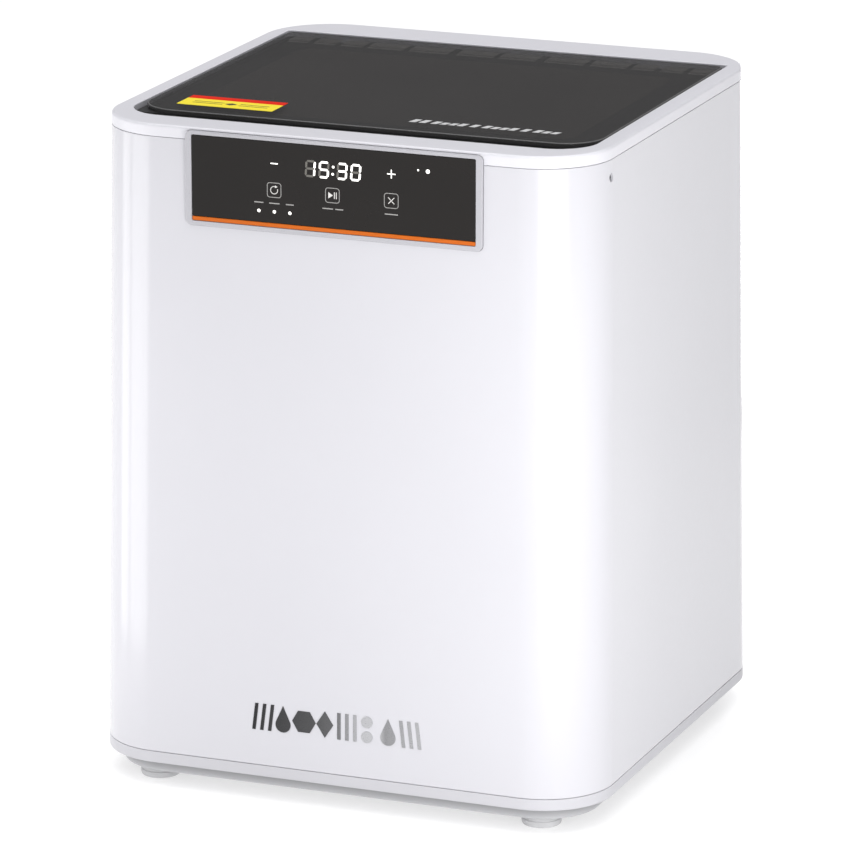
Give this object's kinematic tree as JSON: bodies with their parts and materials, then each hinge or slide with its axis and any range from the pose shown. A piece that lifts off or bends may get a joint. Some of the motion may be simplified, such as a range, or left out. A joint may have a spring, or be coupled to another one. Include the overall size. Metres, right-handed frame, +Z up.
{
  "type": "resin wash station",
  "caption": "Upright resin wash station with a smoked flip lid, a touch panel, a wash bucket with a lift-out basket, a magnetic impeller and curing lamps.",
  "frame": {"origin": "middle of the casing's plan, at the underside of the feet", "axes": "+X to the right seen from the front, +Y to the back, +Z up; the control panel is on the -Y side"},
  "size_m": [0.392, 0.391, 0.496],
  "materials": {
    "white_gloss": "glossy moulded",
    "rim_plastic": "satin moulded",
    "light_grey_plastic": "satin moulded",
    "skirt_grey": "fine textured",
    "foot_rubber": "matte",
    "smoked_plate": "polished smoked acrylic",
    "lid_black": "satin",
    "panel_glass": "polished black glass",
    "orange_strip": "satin",
    "seal": "matte",
    "rib_grey": "satin",
    "decal": "printed film",
    "mark_metal": "brushed",
    "steel": "brushed",
    "black_steel": "blackened",
    "black_plastic": "satin",
    "board_green": "solder mask",
    "bucket_plastic": "frosted",
    "basket_grey": "satin",
    "liner_metal": "satin reflective",
    "cover_clear": "diffusing",
    "magnet": "nickel plated",
    "rear_grey": "powder coated"
  },
  "bodies": {
    "root": {"foot_front_left": "foot_rubber", "foot_rear_left": "foot_rubber", "foot_front_right": "foot_rubber", "foot_rear_right": "foot_rubber", "base_pan": "skirt_grey", "base_flange": "light_grey_plastic", "control_bezel": "light_grey_plastic", "body_shell": "white_gloss", "rear_panel": "rear_grey", "rear_screw_left_1": "steel", "rear_screw_right_1": "steel", "rear_screw_left_2": "steel", "rear_screw_right_2": "steel", "rear_screw_left_3": "steel", "rear_screw_right_3": "steel", "hinge_pin_left": "steel", "hinge_pin_right": "steel", "drive_motor": "steel", "motor_bracket": "steel", "power_supply": "steel", "inlet_contacts": "steel", "side_screw": "black_steel", "front_mark": "mark_metal", "top_rim": "rim_plastic", "lid_sensor": "black_plastic", "display_module": "black_plastic", "fan_frame": "black_plastic", "power_inlet": "black_plastic", "switch_housing": "black_plastic", "shaft_bearing": "magnet", "control_glass": "panel_glass", "accent_strip": "orange_strip", "touch_board": "board_green", "main_board": "board_green", "curing_lamp_board_left": "board_green", "curing_lamp_board_right": "board_green", "curing_lamp_cover_left": "cover_clear", "curing_lamp_cover_right": "cover_clear", "chamber_liner": "liner_metal"},
    "lid": {"lid_window": "smoked_plate", "lid_frame": "lid_black", "lid_rear_ribs": "rib_grey", "lid_gasket": "seal", "lid_magnet": "magnet", "lid_decal": "decal"},
    "bucket": {"wash_bucket": "bucket_plastic"},
    "basket": {"wash_basket": "basket_grey"},
    "handle": {"basket_handle": "steel", "handle_grip": "black_plastic"},
    "impeller": {"impeller": "black_plastic"},
    "rotor": {"magnet_rotor": "black_plastic", "motor_shaft": "steel", "rotor_magnet_1": "magnet", "rotor_magnet_2": "magnet", "rotor_magnet_3": "magnet", "rotor_magnet_4": "magnet"},
    "fan": {"fan_rotor": "black_plastic"},
    "rocker": {"power_rocker": "black_plastic"}
  },
  "joints": [
    {"name": "lid_hinge", "type": "hinge", "parent": "root", "child": "lid", "pos_m": [0, 0.1435, 0.4895], "axis": [-1, 0, 0], "range_deg": [0, 100]},
    {"name": "bucket_lift", "type": "slide", "parent": "root", "child": "bucket", "axis": [0, 0, 1], "range_m": [0, 0.03]},
    {"name": "basket_lift", "type": "slide", "parent": "bucket", "child": "basket", "axis": [0, 0, 1], "range_m": [0, 0.035]},
    {"name": "handle_fold", "type": "hinge", "parent": "basket", "child": "handle", "pos_m": [0, -0.0135, 0.347], "axis": [-1, 0, 0], "range_deg": [0, 180]},
    {"name": "rotor_spin", "type": "hinge", "parent": "root", "child": "rotor", "pos_m": [0, -0.0135, 0.139], "axis": [0, 0, 1], "continuous": true},
    {"name": "impeller_spin", "type": "hinge", "parent": "bucket", "child": "impeller", "pos_m": [0, -0.0135, 0.162], "axis": [0, 0, 1], "continuous": true},
    {"name": "fan_spin", "type": "hinge", "parent": "root", "child": "fan", "pos_m": [0.084, 0.1755, 0.1], "axis": [0, 1, 0], "continuous": true},
    {"name": "power_switch", "type": "hinge", "parent": "root", "child": "rocker", "pos_m": [-0.05, 0.188, 0.075], "axis": [1, 0, 0], "range_deg": [0, 20]}
  ],
  "couplings": [
    {"joint": "impeller_spin", "follows": "rotor_spin", "ratio": 1}
  ]
}
